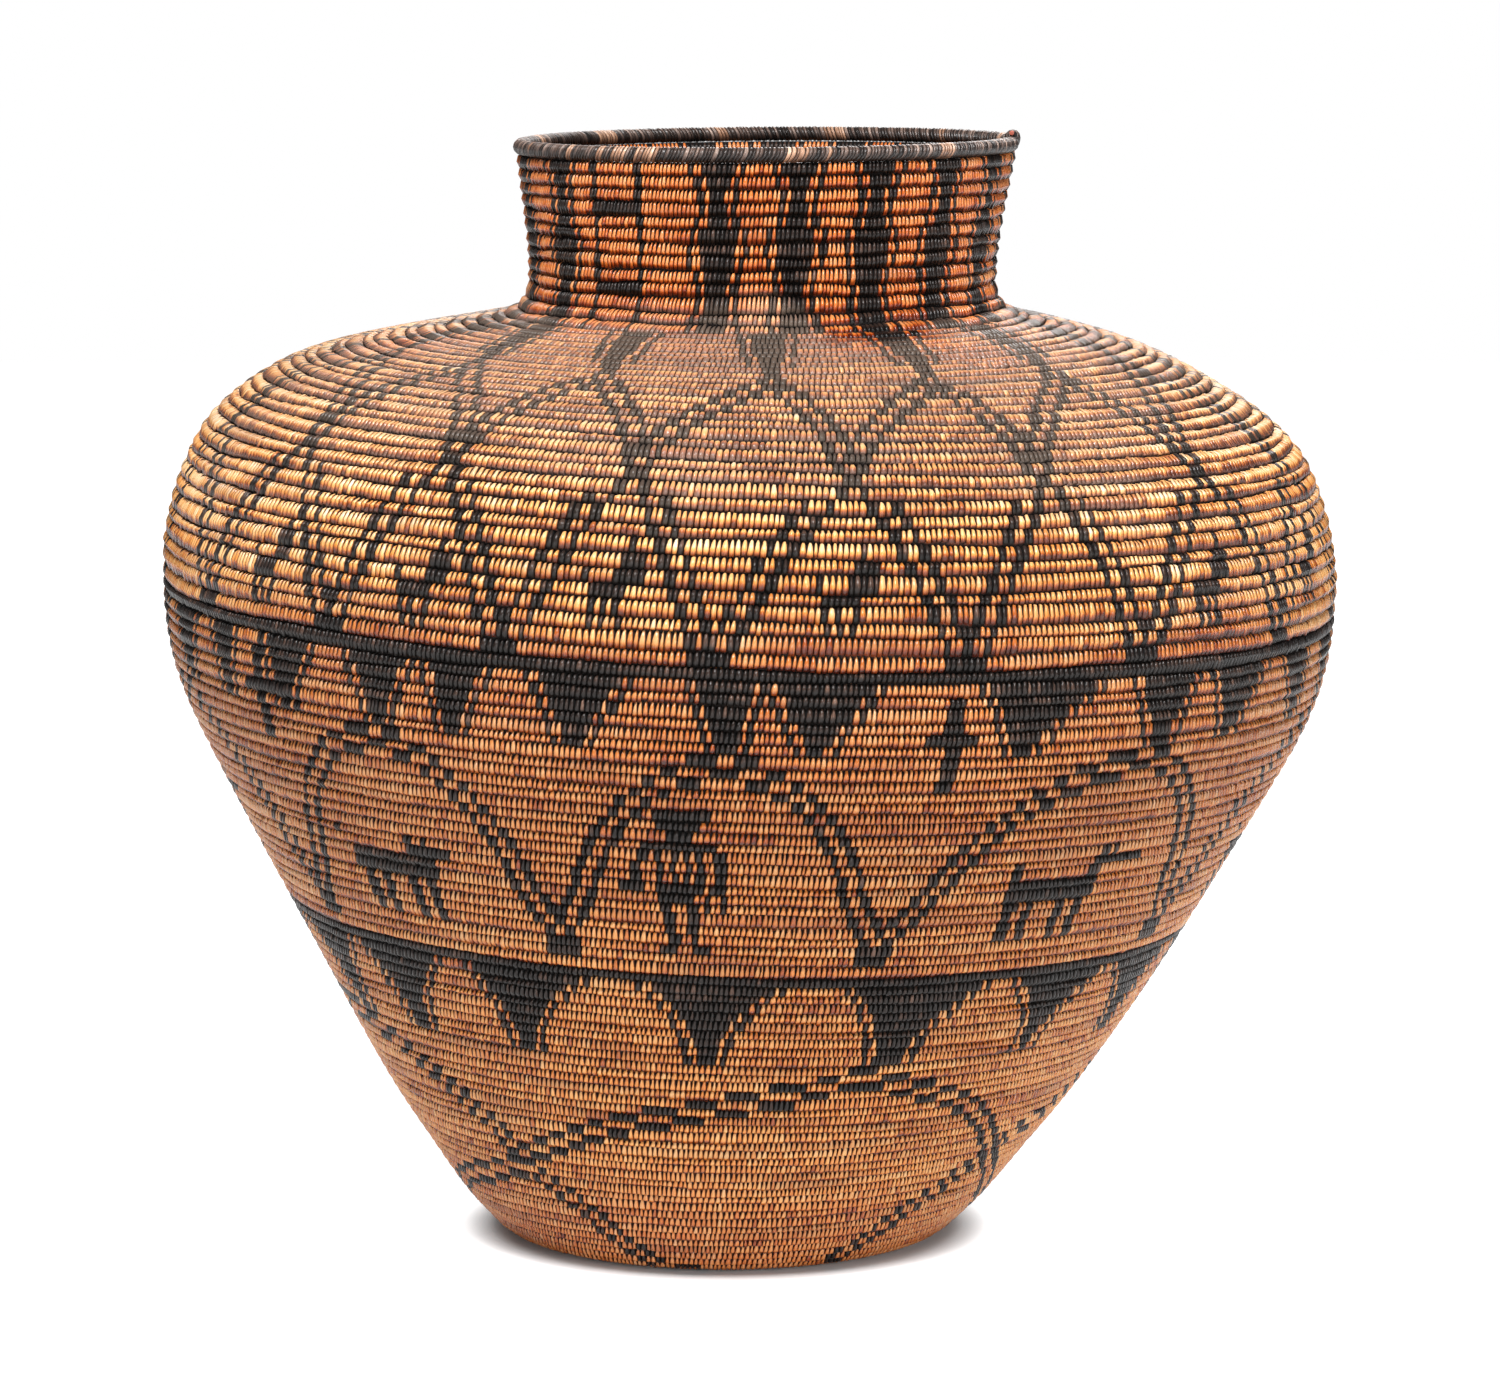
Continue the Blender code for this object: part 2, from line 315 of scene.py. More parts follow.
# %% The motifs below the lower black course
def waves(angle, level, radius):
    """Two long double lines that swing round the basket and cross."""
    upper = [(-50, 22.6), (-42, 18.6), (-38.5, 15.8), (-30, 17.3), (-20, 20.0), (-10, 21.7),
             (0, 23.4), (10, 24.9), (17, 26.3), (21, 26.1), (30, 24.4), (38, 22.3), (45, 19.4),
             (50, 16.7), (54, 14.6)]
    far = [(54, 14.6), (58, 16.7), (66, 18.3), (73, 20.9), (85, 24.0), (95, 26.5), (103, 27.8),
           (108, 27.8), (120, 25.9), (130, 22.6)]
    lower = [(28, 2.2), (33, 4.8), (38, 7.9), (44, 10.3), (49, 12.5), (54, 14.6)]
    dip = [(54, 14.6), (56, 13.2), (62, 10.8), (67, 8.4), (76, 5.5), (88, 4.2), (100, 6.0),
           (108, 8.4), (120, 10.6), (130, 12.0), (140, 13.7), (144, 12.7), (148, 10.8),
           (153, 7.9), (157, 5.1), (164, 1.7), (172, 0.5)]
    dark = np.zeros(angle.shape, bool)
    for side in (0, 180):
        for path in (upper, far, lower, dip):
            dark |= double_line(angle, level, radius, path, side)
    return dark & (level < 29)


def tapering(angle, level, radius, points, low, high, bend):
    """Black points that hang from a black course, each edged by a pale stitch and a black one."""
    dark = np.zeros(angle.shape, bool)
    degree = radius * math.pi / 180
    up = np.clip((level - low) / (high - low), 0, 1) ** bend
    for left_top, right_top, left_tip, right_tip in points:
        for side in (0, 180):
            x = off(angle, (left_top + right_top) / 2 + side) + (left_top + right_top) / 2
            left = left_tip + (left_top - left_tip) * up
            right = right_tip + (right_top - right_tip) * up
            past = np.maximum(left - x, x - right) * degree
            dark |= (past < 0) | ((past > stitch_wide) & (past < pair_wide))
    return dark & (level >= low) & (level <= high)


def hanging_points(angle, level, radius):
    """The long points below the lower black course."""
    points = ((-69.8, -57.5, -65.1, -62.1), (-53.9, -40.3, -49.8, -46.6),
              (-34.4, -19.5, -30.3, -27.8), (-10.5, 4.5, -5.0, -2.5), (14.8, 31.4, 19.3, 23.6),
              (37.7, 51.4, 43.0, 44.8), (55.9, 69.0, 62.7, 65.5), (75, 88, 80, 82.5),
              (92, 105.5, 97, 99.5))
    return tapering(angle, level, radius, points, 28.5, 36.5, 1.9)


# %% The motifs between the black courses
arch_valleys = (-57.5, -20.5, 15.6, 58.5, 90)
arch_peaks = (-37.5, -2.0, 41.0, 74.5, 106)


def arches(angle, level, radius):
    """Tall double arches, which meet in flat black feet."""
    dark = np.zeros(angle.shape, bool)
    feet = arch_valleys + (arch_valleys[0] + 180,)
    shape = [(0, 41.2), (0.10, 43.4), (0.19, 46.0), (0.26, 48.5), (0.37, 51.5), (0.49, 53.8),
             (0.64, 55.9), (0.80, 57.2), (1.0, 58.1)]
    for left, right, peak in zip(feet, feet[1:], arch_peaks):
        path = [((left - peak) * (1 - share), height) for share, height in shape]
        path += [((right - peak) * (1 - share), height) for share, height in reversed(shape[:-1])]
        for side in (0, 180):
            dark |= double_line(angle, level, radius, path, peak + side)
            dark |= block(angle, level, -2.0, 2.0, 40, 41, left + side)
    return dark & (level > 39)


def hanging_triangles(angle, level, radius):
    """The short points below the upper black course."""
    points = ((-61.6, -57.5, -60.2, -58.9), (-51.5, -45.2, -50.3, -48.6),
              (-39.6, -33.2, -37.5, -36.0), (-30.3, -24.8, -29.1, -27.8),
              (-19.4, -11.5, -17.0, -15.3), (-4.6, 0.4, -2.9, -0.8), (2.5, 11.2, 5.4, 7.2),
              (22.4, 33.5, 25.4, 27.3), (39.0, 45.7, 41.1, 43.5), (49.4, 57.5, 51.7, 53.3),
              (62.5, 68.3, 66.2, 67.8), (74, 80, 76.2, 77.8), (84.5, 91.5, 87, 89),
              (96, 102, 98, 100), (107, 113.5, 109.5, 111.5))
    return tapering(angle, level, radius, points, 59.5, 64.5, 1.2)


def crosses(angle, level, radius):
    """Small plain crosses that hang between the triangles."""
    return stamp(angle, level, (19.1, -53.4, 104, -140, 160, -104),
                 ((-0.8, 0.8, 57, 64), (-2.5, 2.5, 61, 61)))


def standing_figures(angle, level, radius):
    """A simple standing figure: head, shoulders, striped body, arms and legs."""
    parts = ((-2.8, 2.9, 54, 54), (-2.2, 2.2, 53, 53), (-1.0, 1.1, 52, 52), (-3.7, 3.6, 51, 51),
             (-4.4, -3.5, 50, 50), (-5.5, -4.4, 48, 49), (-6.8, -4.1, 47, 47),
             (3.3, 4.5, 50, 50), (3.9, 5.0, 48, 49), (3.2, 5.0, 47, 47), (2.6, 3.2, 45, 46),
             (4.3, 5.0, 45, 46), (-2.7, 2.6, 47, 47), (-2.6, 1.4, 46, 46), (-2.1, -0.9, 43, 45),
             (0.4, 1.8, 43, 45), (-1.2, -0.1, 42, 42), (0.8, 1.9, 42, 42), (-2.9, -0.4, 41, 41),
             (0.9, 3.4, 41, 41))
    stripes = tuple((middle - 0.3, middle + 0.3, 48, 50) for middle in (-2.1, -0.7, 0.7, 2.0))
    return stamp(angle, level, (-6.3, 122, -120), parts + stripes)


def large_animals(angle, level, radius):
    """Four-legged animals among the arches, all facing right, with the head low or raised."""
    body = ((-6.2, 5.9, 46, 47), (-5.5, -4.0, 42, 45), (-2.8, -1.5, 42, 45), (1.5, 2.9, 42, 45),
            (4.0, 5.4, 42, 45))
    low_head = ((2.6, 8.4, 48, 48), (2.9, 3.7, 49, 49), (4.9, 5.7, 49, 49), (-8.0, -7.0, 49, 49))
    high_head = ((4.0, 6.0, 48, 48), (4.3, 11.2, 49, 49), (5.0, 5.7, 50, 50), (6.6, 7.3, 50, 50),
                 (-6.4, -5.1, 48, 49))
    return (stamp(angle, level, (-40.7, 78, -156), body + low_head)
            | stamp(angle, level, (35.8, 156, -84), body + high_head))


print("arches:", 2 * len(arch_peaks))


# %% The motifs above the upper black course
lattice_feet = (-62.8, -42.3, -23, -3.7, 19.8, 38.6, 60.2, 79, 98)
lattice_crossings = (-52, -32, -12, 9.5, 30, 51.5, 70.5, 88.5, 107.5)
lattice_peaks = (-65, -44, -21.8, 1.8, 24.2, 46, 66, 80.5, 98)
lattice_below = ((66.2, 0), (67.5, 0.09), (69.2, 0.20), (71.1, 0.31), (74.2, 0.53),
                 (77.0, 0.77), (79.2, 1))
lattice_above = ((80.8, 0.07), (82.4, 0.17), (84.0, 0.31), (85.6, 0.48), (87.0, 0.66),
                 (88.2, 0.83), (89.2, 1))


def lattice(angle, level, radius):
    """Double lines that rise from the black course, cross, and close in pointed arches."""
    dark = np.zeros(angle.shape, bool)
    feet = lattice_feet + (lattice_feet[0] + 180,)
    peaks = lattice_peaks + (lattice_peaks[0] + 180,)
    for k, crossing in enumerate(lattice_crossings):
        for side in (0, 180):
            x = np.abs(off(angle, crossing + side)) * radius * math.pi / 180
            dark |= (np.abs(level - 78.5) < 0.4) & (x < 4.4)
            dark |= (np.abs(np.abs(level - 78.5) - 1) < 0.4) & (x > 2.2) & (x < 6.6)
        for foot_here, peak in ((feet[k], peaks[k + 1]), (feet[k + 1], peaks[k])):
            path = [((crossing - foot_here) * share, height) for height, share in lattice_below]
            path += [(crossing - foot_here + (peak - crossing) * share, height)
                     for height, share in lattice_above]
            for side in (0, 180):
                line = double_line(angle, level, radius, path, foot_here + side)
                dark |= line & (np.abs(level - 78.5) > 1.4)
        for side in (0, 180):
            dark |= block(angle, level, -1.8, 1.8, 67, 67, feet[k] + side)
    return dark & (level > 66) & (level < 90.5)


def vases(angle, level, radius):
    """Black columns on the shoulder that widen towards the neck, each with a double edge."""
    dark = np.zeros(angle.shape, bool)
    up = np.clip((level - 90) / 9, 0, 1)
    for peak in lattice_peaks:
        for side in (0, 180):
            centre = peak + side + 0.20 * (peak - 4) * up
            x = np.abs(off(angle, centre)) * radius * math.pi / 180
            half = 3.2 + 4.8 * up
            sides = (x > half + stitch_wide) & (x < half + pair_wide) & (level > 92)
            dark |= (x < half) | sides
    return dark & (level > 90) & (level < 99)


def small_animals(angle, level, radius):
    """Small animals between the feet of the lattice, all facing right."""
    parts = ((-1.8, 1.6, 71, 71), (0.9, 3.4, 72, 72), (1.3, 3.7, 73, 73), (2.0, 2.6, 74, 74),
             (-1.7, -1.0, 69, 70), (-0.5, 0.1, 69, 70), (0.9, 1.5, 69, 70), (-2.3, -1.8, 72, 72))
    return (stamp(angle, level + 1, (-51.8, -32.2, 150, -130), parts)
            | stamp(angle, level, (-13.3, 8.0, 47.5, 67.5, 110, -170, -90), parts))


print("lattice crossings:", 2 * len(lattice_crossings))


# %% The motifs of the neck
def neck_columns(angle, level, radius):
    """Black columns that swell twice, each with a pale and a black edge that follows it."""
    # The half width of a column, in degrees, on each of the thirteen courses
    swell = (3.6, 3.4, 2.9, 2.5, 3.2, 4.3, 4.7, 4.4, 2.6, 2.1, 2.0, 2.7, 4.0)
    width = np.array(swell)[np.clip(np.ceil(level).astype(int) - 100, 0, 12)]
    dark = np.zeros(angle.shape, bool)
    for centre in (-76, -55, -11, 7.5, 26.4, 45.9, 65, 84, 103, 122, 141, 160, 179, -162, -122,
                   -99):
        x = np.abs(off(angle, centre))
        dark |= (x < width) | ((x > width + 1.3) & (x < width + 2.5))
    ladders = ((-7.1, -5.6, 100, 112), (5.6, 7.1, 100, 112), (-7.1, 7.1, 109, 109),
               (-7.1, 7.1, 103, 103))
    dark |= stamp(angle, level, (-36.8, -142), ladders)
    return dark & (level > 99)


# %% The whole chart
motifs = (waves, hanging_points, arches, hanging_triangles, crosses, standing_figures,
          large_animals, lattice, vases, small_animals, neck_columns)


def is_dark(angle, level, radius):
    """True where a stitch is devil's claw."""
    dark = (np.abs(level + 0.5 - lower_black) < 0.5) | (np.abs(level + 0.5 - upper_black) < 0.5)
    for motif in motifs:
        dark |= motif(angle, level, radius)
    return dark


print("kinds of motif:", len(motifs))


# %% [markdown]
# ## The shape of one stitch
#
# A splint comes over the rods at the top of a course, lies flat and wide across it, and goes
# down behind the course below. So a stitch is narrow and pointed above, wide below, and highest in
# the middle. Four rows of three faces give that, which is as few as it can be, because there are
# more than fifty thousand stitches. The groove between two courses is where both stitches go in.
#
# The mesh is shaded smooth, but not across the lines between stitches and between courses. Those
# edges are marked sharp, so each splint catches the light by itself.

# %% Rows of a stitch, from its foot to its tip
# For each row: how far up the course it lies, how deep in the wall, how much deeper the line
# between two stitches is, half of the splint's width, and how far its middle pokes up or down
rows_per_course = 4
row_share = np.array([0.0, 0.15, 0.50, 0.84])
row_depth = np.array([2.7, 0.85, 0.0, 0.80]) * millimetre
row_valley = np.array([0.1, 0.58, 0.88, 1.10]) * millimetre
row_half_width = np.array([0.08, 0.33, 0.31, 0.18])
row_poke = np.array([0.0, -0.05, 0.0, 0.06])
groove_poke = 0.09
stitch_jitter = np.random.default_rng(7)
print("triangles in one stitch:", rows_per_course * 3 * 2)


# %% A flat sheet of faces, and what its corners are numbered
def read(things, what, width, kind=float):
    """All values of one property, as an array."""
    values = np.zeros(len(things) * width, kind)
    things.foreach_get(what, values)
    return values.reshape(-1, width) if width > 1 else values


def flat_sheet(columns, rows):
    """A grid of faces, with the column and row of each vertex and the vertices of each face."""
    sheet = bmesh.new()
    bmesh.ops.create_grid(sheet, x_segments=columns, y_segments=rows, size=1)
    mesh = new_mesh("sheet", sheet)
    place = read(mesh.vertices, "co", 3)
    column = np.rint((place[:, 0] + 1) / 2 * columns).astype(int)
    row = np.rint((place[:, 1] + 1) / 2 * rows).astype(int)
    faces = read(mesh.loops, "vertex_index", 1, int).reshape(-1, 4)
    return mesh, column, row, faces


def spread_map(column, row, columns, rows, low, high, strips):
    """Corner places on a square map: the ring is cut into strips, stacked between low and high."""
    first = column.min(1, keepdims=True)
    length = math.ceil(columns / strips)
    strip = first // length
    across = (column - strip * length) / length
    up = (strip + 0.02 + 0.96 * row / rows) / strips
    return np.stack([across, low + (high - low) * up], -1)


def write_maps(mesh, stitch_map, spread, dark, tone):
    """Store the two maps, the choice of splint and the tone of each face."""
    mesh.uv_layers.new(name="stitches").data.foreach_set("uv", stitch_map.ravel())
    mesh.uv_layers.new(name="OFBake").data.foreach_set("uv", spread.ravel())
    mesh.polygons.foreach_set("material_index", dark.astype(np.int32))
    tones = mesh.attributes.new("tone", "FLOAT", "FACE")
    tones.data.foreach_set("value", tone.astype(np.float32))


# %% [markdown]
# ## Uneven hand work
#
# No two stitches are the same width, and neighbouring courses drift past each other. One splint
# also makes a run of ten to thirty stitches before the next is spliced in, so colour changes in
# runs. Both are drawn with seeded random numbers, so that the basket is the same every time.

# %% How uneven the work is
# Shares of a stitch or a course, except the bulge of a stitch, in mm, and the tones, from 0 to 1
drift_spread, width_spread = 0.35, 0.09
slant_middle, slant_spread = 0.22, 0.09
tip_spread, bulge_spread, bulge_most = 0.045, 0.07, 0.2
shortest_run, past_longest_run = 9, 34
run_spread, tone_spread = 0.08, 0.11
print("one splint sews", shortest_run, "to", past_longest_run - 1, "stitches")


# %% Where the stitches of one course begin, and how light each is
def stitch_edges(stitches, courses):
    """Edges of the stitches of each course, counted in stitches round the basket."""
    count = np.arange(stitches + 1)
    edges = np.zeros((courses, stitches + 1))
    for k in range(courses):
        wave = sum(stitch_jitter.uniform(-drift_spread, drift_spread)
                   * np.sin(2 * math.pi * n * count / stitches + stitch_jitter.uniform(0, 6.28))
                   for n in (2, 5, 9, 14))
        jitter = stitch_jitter.normal(0, width_spread, stitches + 1)
        jitter[-1] = jitter[0]
        edges[k] = count + wave + jitter + k / 2
    return edges


def wander(angle, course_number):
    """How far a course strays up or down, in courses: nothing at the base and the rim."""
    size = 0.08 * soft_step(course_number, 1, 6) * (1 - soft_step(course_number, 107, 111))
    phase = 2.4 * np.sin(1.3 * course_number)
    return size * (np.sin(4 * angle + phase) + 0.7 * np.sin(9 * angle - 2 * phase)
                   + 0.5 * np.sin(23 * angle + 3 * phase) + 0.9 * np.sin(2.9 * course_number))


def stitch_tones(stitches, courses):
    """Tone from 0, dark, to 1, pale, in runs of stitches sewn with one splint."""
    tones = np.zeros((courses, stitches))
    for k in range(courses):
        at = 0
        while at < stitches:
            run = int(stitch_jitter.integers(shortest_run, past_longest_run))
            tones[k, at:at + run] = stitch_jitter.normal(0.5, run_spread)
            at += run
    return np.clip(tones + stitch_jitter.normal(0, tone_spread, tones.shape), 0, 1)


# %% Shared places on the maps
# OFBake, a square map laid out for baking the finish, holds from its foot to its top: the outer
# sheet, the inner sheet, and the two narrow bands that join them. On the other map, which counts
# stitches and courses, the number of the inner sheet's courses starts higher, to tell them apart.
outer_low, outer_high, outer_strips = 0.0, 0.80, 6
inner_low, inner_high, inner_strips = 0.81, 0.96, 4
joining_bands = (0.965, 0.985)
outer_first, inner_first = 20, 220
inner_ridge = 0.0012
print("ridges on the inner face stand", inner_ridge / millimetre, "mm proud")


# %% Build one stretch of the coil
def close_ring(outer, inner, name):
    """Join the outer and inner sheets into one closed ring of faces."""
    ring = bmesh.new()
    ring.from_mesh(outer)
    ring.from_mesh(inner)
    bmesh.ops.remove_doubles(ring, verts=[v for v in ring.verts if v.is_boundary], dist=1e-6)
    loose = [e for e in ring.edges if e.is_boundary]
    count = ring.loops.layers.uv["stitches"]
    levels = [round(e.link_loops[0][count].uv.y) % (inner_first - outer_first) for e in loose]
    spread = ring.loops.layers.uv["OFBake"]
    for level, low in zip(sorted(set(levels)), joining_bands):
        around = [e for e, found in zip(loose, levels) if found == level]
        made = bmesh.ops.bridge_loops(ring, edges=around)["faces"]
        for face in made:
            for loop in face.loops:
                angle = math.atan2(loop.vert.co.y, loop.vert.co.x) / math.tau + 0.5
                depth = 0.01 if loop.vert.index % 2 else 0
                loop[spread].uv = (angle, low + depth)
    return new_mesh(name, ring)


def outer_sheet(start, stop, courses, first_course, stitches, edges, tones):
    """The sewn outer face of a stretch: three columns and four rows of faces a stitch."""
    rows = rows_per_course * courses
    mesh, column, row, faces = flat_sheet(3 * stitches, rows)
    part, stitch = column % 3, column // 3
    level, course_here = row % rows_per_course, row // rows_per_course
    slants = stitch_jitter.normal(slant_middle, slant_spread, (courses, stitches + 1))
    slants[:, -1] = slants[:, 0]

    def reach(course_number, share_up):
        """Angle in stitches at this column, on a given course."""
        number = np.clip(course_number, 0, courses - 1)
        following = np.minimum(stitch + 1, stitches)
        left = edges[number, stitch] + slants[number, stitch] * (share_up - 0.5)
        right = edges[number, following] + slants[number, following] * (share_up - 0.5)
        half = row_half_width[level]
        along = np.choose(part, [0, 0.5 - half, 0.5 + half])
        return left + (right - left) * along

    groove = level == 0
    here = np.where(groove & (row > 0), reach(course_here - 1, 1.0),
                    reach(course_here, row_share[level]))
    angle = here / stitches * math.tau
    poke = np.where(part == 0, -1, 1)
    share = course_here + row_share[level] + row_poke[level] * poke
    share += np.where(groove & (row > 0) & (row < rows), groove_poke * poke, 0)
    spikes = stitch_jitter.normal(0, tip_spread, (courses + 1, stitches + 1))
    share += np.where((part > 0) & (level != 2) & ~groove, spikes[course_here, stitch], 0)
    distance = start + (stop - start) * share / courses
    distance += wander(angle, first_course + share) * (stop - start) / courses
    bulge = np.zeros((courses + 1, stitches + 1))
    drawn = stitch_jitter.normal(0, bulge_spread, (courses, stitches))
    bulge[:courses, :stitches] = drawn.clip(0, bulge_most)
    bulge[:, stitches] = bulge[:, 0]
    depth = row_depth[level] + np.where(part == 0, row_valley[level], 0)
    depth = depth + np.where(groove, 0, bulge[course_here, stitch] * millimetre)
    radius, height = on_outline(distance, depth)
    mesh.vertices.foreach_set("co", turned(angle, radius, height).ravel())
    ends = read(mesh.edges, "vertices", 2, int)
    between = (column[ends] % 3 == 0).all(1) & (column[ends[:, 0]] == column[ends[:, 1]])
    along = (level[ends] == 0).all(1)
    sharp = mesh.attributes.new("sharp_edge", "BOOLEAN", "EDGE")
    sharp.data.foreach_set("value", between | along)

    corner_column, corner_row = column[faces], row[faces]
    face_stitch = corner_column.min(1) // 3
    face_course = corner_row.min(1) // rows_per_course
    corner_part = corner_column - 3 * face_stitch[:, None]
    half = row_half_width[corner_row % rows_per_course]
    across = np.choose(corner_part, [0 * half, 0.5 - half, 0.5 + half, 0 * half + 1])
    up = row_share[corner_row % rows_per_course] + corner_row // rows_per_course
    stitch_map = np.stack([face_stitch[:, None] + across, up + first_course + outer_first], -1)
    spread = spread_map(corner_column, corner_row, 3 * stitches, rows, outer_low, outer_high,
                        outer_strips)

    centre = (edges[:, :-1] + edges[:, 1:]) / 2 / stitches * 360 + 90
    levels = np.repeat(first_course + np.arange(courses)[:, None] + 0.5, stitches, 1)
    middle = start + (stop - start) * (np.arange(courses) + 0.5) / courses
    radii = np.repeat(on_outline(middle, 0)[0][:, None] / millimetre, stitches, 1)
    dark = is_dark(off(centre, 0), levels, radii)
    write_maps(mesh, stitch_map, spread, dark[face_course, face_stitch],
               tones[face_course, face_stitch])
    return mesh, dark


def inner_sheet(start, stop, courses, first_course, stitches, dark, tones):
    """The inner face of a stretch: the backs of the stitches, one column of two faces each."""
    rows = 2 * courses
    mesh, column, row, faces = flat_sheet(stitches, rows)
    low, high = start + seat_gap / 2, stop - seat_gap / 2
    distance = high - (high - low) * row / rows
    depth = coil_thickness - np.where(row % 2 == 1, 0, inner_ridge)
    radius, height = on_outline(distance, depth)
    mesh.vertices.foreach_set("co", turned(column / stitches * math.tau, radius, height).ravel())
    corner_column, corner_row = column[faces], row[faces]
    face_stitch, face_course = corner_column.min(1), courses - 1 - corner_row.min(1) // 2
    down = courses - corner_row / 2
    stitch_map = np.stack([corner_column, first_course + inner_first + down], -1)
    spread = spread_map(corner_column, corner_row, stitches, rows, inner_low, inner_high,
                        inner_strips)
    write_maps(mesh, stitch_map, spread, dark[face_course, face_stitch],
               tones[face_course, face_stitch])
    return mesh


def sewn_ring(name, start, stop, courses, first_course, spacing):
    """One stretch of the coil as a closed ring, sewn outside and inside."""
    radius = float(on_outline(np.array([(start + stop) / 2]), 0)[0][0])
    stitches = round(math.tau * radius / spacing)
    edges = stitch_edges(stitches, courses)
    tones = stitch_tones(stitches, courses)
    outer, dark = outer_sheet(start, stop, courses, first_course, stitches, edges, tones)
    inner = inner_sheet(start, stop, courses, first_course, stitches, dark, tones)
    return close_ring(outer, inner, name), stitches * courses


# %% [markdown]
# ## Finishes
#
# Colours are written as the screen shows them and turned to linear light by one function. One
# other function adds a node and links it.

# %% Helpers for finishes
def colour(code):
    """An sRGB hex colour as linear light."""
    parts = [int(code[k:k + 2], 16) / 255 for k in (1, 3, 5)]
    return tuple(p / 12.92 if p <= 0.04045 else ((p + 0.055) / 1.055) ** 2.4 for p in parts) + (1,)


def add_node(tree, kind, inputs=None, **settings):
    """Add a node with its settings, and link or set each of its inputs."""
    made = tree.nodes.new("ShaderNode" + kind)
    for key, value in settings.items():
        setattr(made, key, value)
    for key, value in (inputs or {}).items():
        if isinstance(value, bpy.types.Node):
            value = value.outputs[0]
        if isinstance(value, bpy.types.NodeSocket):
            tree.links.new(value, made.inputs[key])
        else:
            made.inputs[key].default_value = value
    return made


def new_material(name):
    """An empty material with its output, ready for nodes."""
    material = bpy.data.materials.new(name)
    material.use_nodes = True
    material.node_tree.nodes.clear()
    return material, material.node_tree


def colour_steps(ramp, steps):
    """Set the stops of a colour ramp from (place, hex colour) pairs."""
    stops = ramp.color_ramp.elements
    while len(stops) < len(steps):
        stops.new(0.5)
    for stop, (place, code) in zip(stops, steps):
        stop.position = place
        stop.color = colour(code)


# %% [markdown]
# ## Split willow and devil's claw
#
# Willow is split, scraped and sewn damp. It dries to a hard, faintly glossy straw that turns
# orange, then brown, with age and handling. Devil's claw is the split seed pod of a desert plant,
# black all through, a little rougher, and grey where dust settles. Both show fine lines along the
# splint. Both get painted shade in the cracks between stitches and where they enter the groove,
# and painted light and shade along each stitch: paler at its tip, browner at its foot.

# %% What all the splint finishes share
# Age and dust are read from the height: the ends of a colour ramp lie at these metres
age_low, age_high = 0.045, 0.505
rust_colour, dust_colour = "#6a2a14", "#b8a08e"
# Colours of the painted shade in the grooves between courses and in the cracks between stitches
groove_shade_colour, crack_shade_colour = "#0c0503", "#1e0e08"
relief_depth, groove_roughness, streak_rate = 0.00025, 0.9, 24.0
dust_by_height = ((0.0, "#000000"), (0.66, "#000000"), (0.72, "#3a3a3a"), (0.78, "#949494"),
                  (0.855, "#a8a8a8"), (0.88, "#000000"))
print("fibres and cracks are", relief_depth / millimetre, "mm deep")


